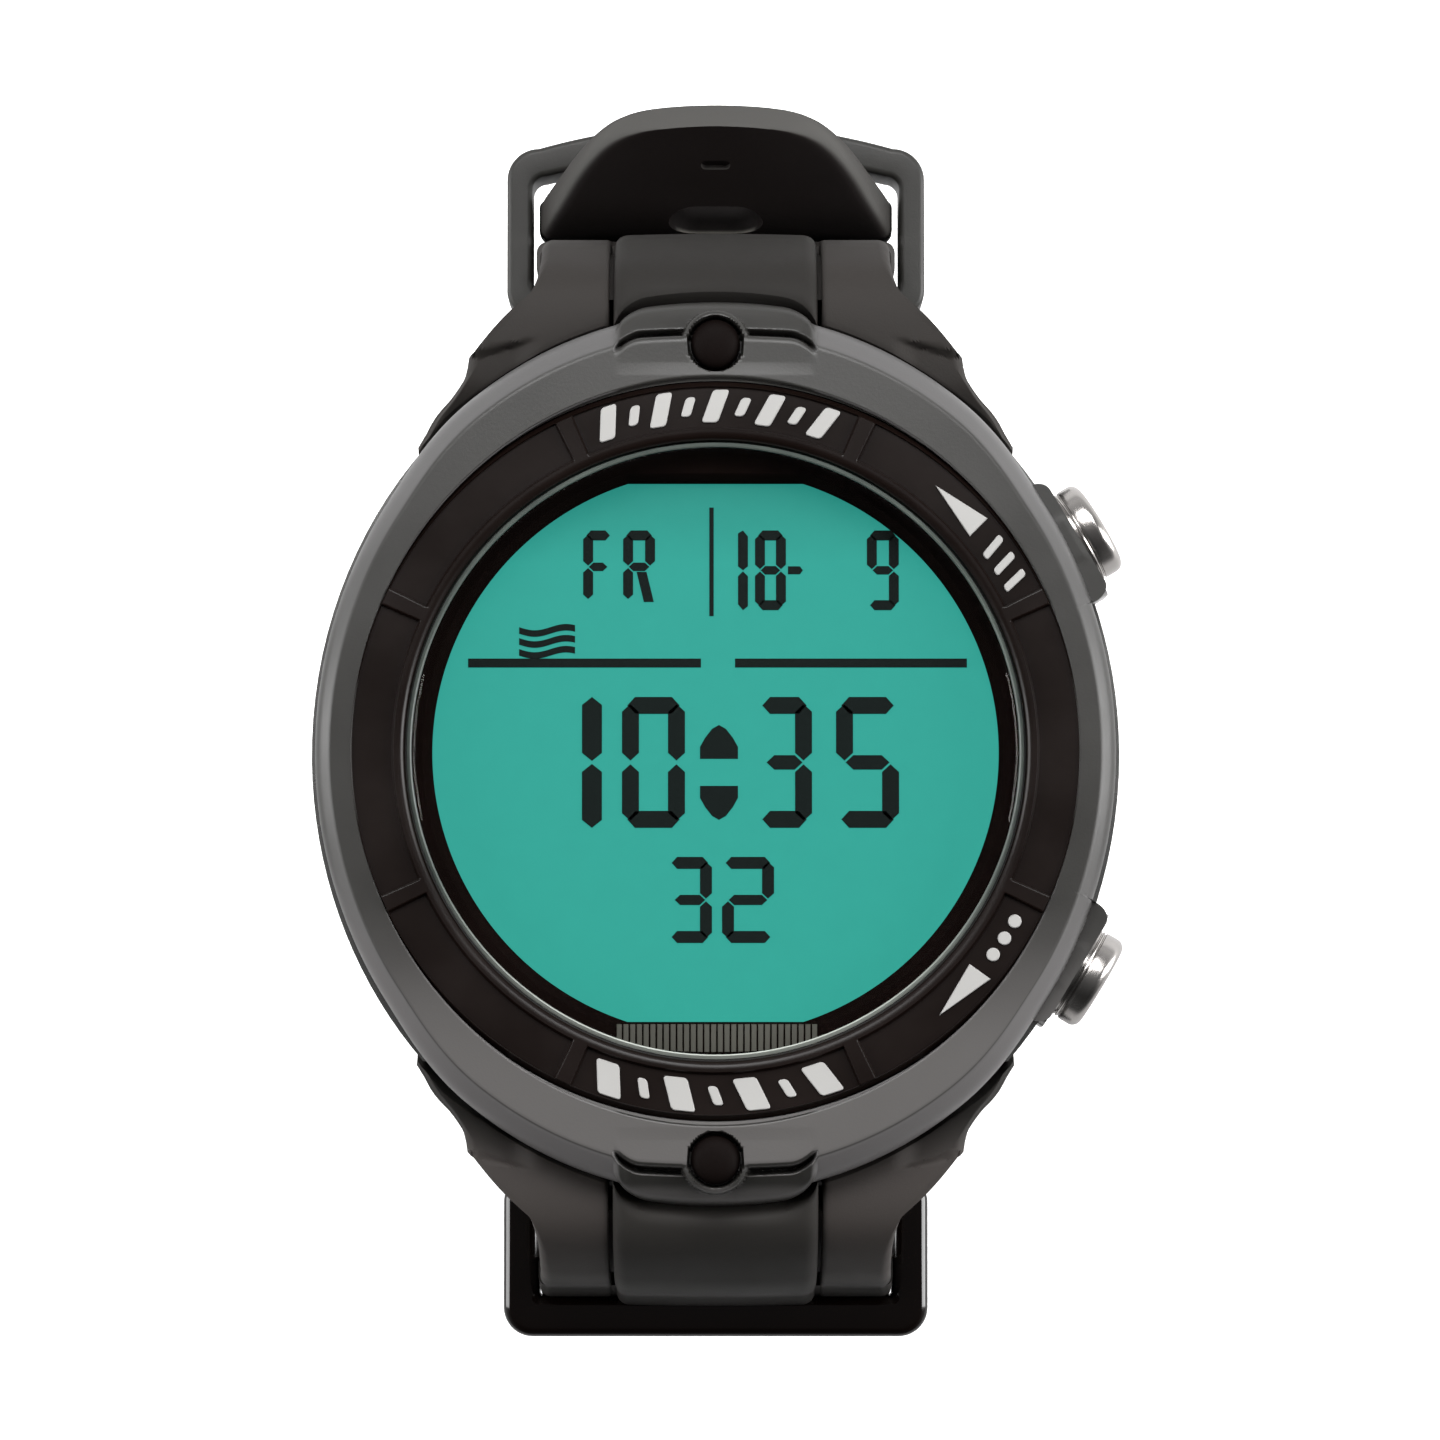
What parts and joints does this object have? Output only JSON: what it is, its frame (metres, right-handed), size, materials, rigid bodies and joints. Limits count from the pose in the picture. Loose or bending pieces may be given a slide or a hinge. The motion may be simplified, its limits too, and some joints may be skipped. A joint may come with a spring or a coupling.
{
  "type": "dive computer",
  "caption": "Wrist dive computer with a round lit display, oval guard ring, side push buttons and a closed loop strap with buckle and keepers.",
  "frame": {"origin": "on the dial axis, in the outer plane of the case back", "axes": "+Z out of the dial towards the reader, +Y towards 12 o'clock, +X towards 3 o'clock and the push buttons"},
  "size_m": [0.0509, 0.0797, 0.0596],
  "materials": {
    "steel_case": "satin machined steel",
    "cover_plastic": "satin moulded plastic, fine grain",
    "black_rubber": "matte",
    "gloss_black": "gloss moulded",
    "clear_glass": "clear mineral glass",
    "matte_black": "matte printed",
    "lcd_teal": "lit display",
    "light_guide": "diffuser",
    "grey_rubber": "striped elastomer",
    "board_green": "solder mask",
    "chip_black": "moulded chip",
    "contact_metal": "gold flash",
    "white_nylon": "moulded nylon",
    "cell_steel": "plain steel",
    "brushed_back": "brushed in one direction",
    "hatch_plastic": "moulded",
    "polished_steel": "polished steel",
    "strap_pu": "matte polyurethane",
    "buckle_steel": "satin steel",
    "keeper_gloss": "gloss black"
  },
  "bodies": {
    "case": {"back_plate": "brushed_back", "back_plate_gasket": "black_rubber", "back_plate_screws": "cell_steel", "backlight_panel": "light_guide", "battery_cell": "cell_steel", "battery_contact_spring": "contact_metal", "battery_side_contact": "contact_metal", "bezel_ring": "gloss_black", "button_spring_lower": "cell_steel", "button_spring_upper": "cell_steel", "button_tube_lower": "cell_steel", "button_tube_upper": "cell_steel", "buzzer": "contact_metal", "case_body": "steel_case", "circuit_board": "board_green", "circuit_components": "chip_black", "cover_studs": "black_rubber", "crystal": "clear_glass", "crystal_gasket": "black_rubber", "display_mask": "matte_black", "front_cover": "cover_plastic", "lcd_panel": "lcd_teal", "lug_pin_lower": "cell_steel", "lug_pin_upper": "cell_steel", "module_holder": "white_nylon", "pressure_sensor": "cell_steel", "sensor_o_ring": "black_rubber", "side_switches": "contact_metal", "strap_lower": "strap_pu", "strap_upper": "strap_pu", "zebra_connectors": "grey_rubber"},
    "button_upper": {"button_upper": "polished_steel", "button_o_rings_upper": "black_rubber", "button_clip_upper": "cell_steel"},
    "button_lower": {"button_lower": "polished_steel", "button_o_rings_lower": "black_rubber", "button_clip_lower": "cell_steel"},
    "keeper_upper": {"keeper_upper": "strap_pu"},
    "keeper_lower": {"keeper_lower": "keeper_gloss"},
    "battery_cover": {"battery_cover": "hatch_plastic", "battery_cover_o_ring": "black_rubber"},
    "buckle_frame": {"buckle_frame": "buckle_steel", "buckle_pin": "cell_steel"},
    "buckle_prong": {"buckle_prong": "buckle_steel"}
  },
  "joints": [
    {"name": "button_upper_press", "type": "slide", "parent": "case", "child": "button_upper", "axis": [-0.8572, -0.515, 0], "range_m": [0, 0.001], "stiffness_N_per_m": 900, "springref_m": -0.0012, "deforming": ["button_spring_upper"]},
    {"name": "button_lower_press", "type": "slide", "parent": "case", "child": "button_lower", "axis": [-0.8572, 0.515, 0], "range_m": [0, 0.001], "stiffness_N_per_m": 900, "springref_m": -0.0012, "deforming": ["button_spring_lower"]},
    {"name": "battery_cover_turn", "type": "hinge", "parent": "case", "child": "battery_cover", "pos_m": [0, 0, 0], "axis": [0, 0, -1], "range_deg": [0, 50]},
    {"name": "keeper_upper_slide", "type": "slide", "parent": "case", "child": "keeper_upper", "axis": [0, 0, -1], "range_m": [-0.0018, 0.003]},
    {"name": "keeper_lower_slide", "type": "slide", "parent": "case", "child": "keeper_lower", "axis": [0, 0, -1], "range_m": [-0.003, 0.006]},
    {"name": "buckle_frame_swing", "type": "hinge", "parent": "case", "child": "buckle_frame", "pos_m": [0, 0.00769, -0.03981], "axis": [1, 0, 0], "range_deg": [-1, 3]},
    {"name": "buckle_prong_swing", "type": "hinge", "parent": "buckle_frame", "child": "buckle_prong", "pos_m": [0, 0.00769, -0.03981], "axis": [1, 0, 0], "range_deg": [-0.4, 3]}
  ]
}
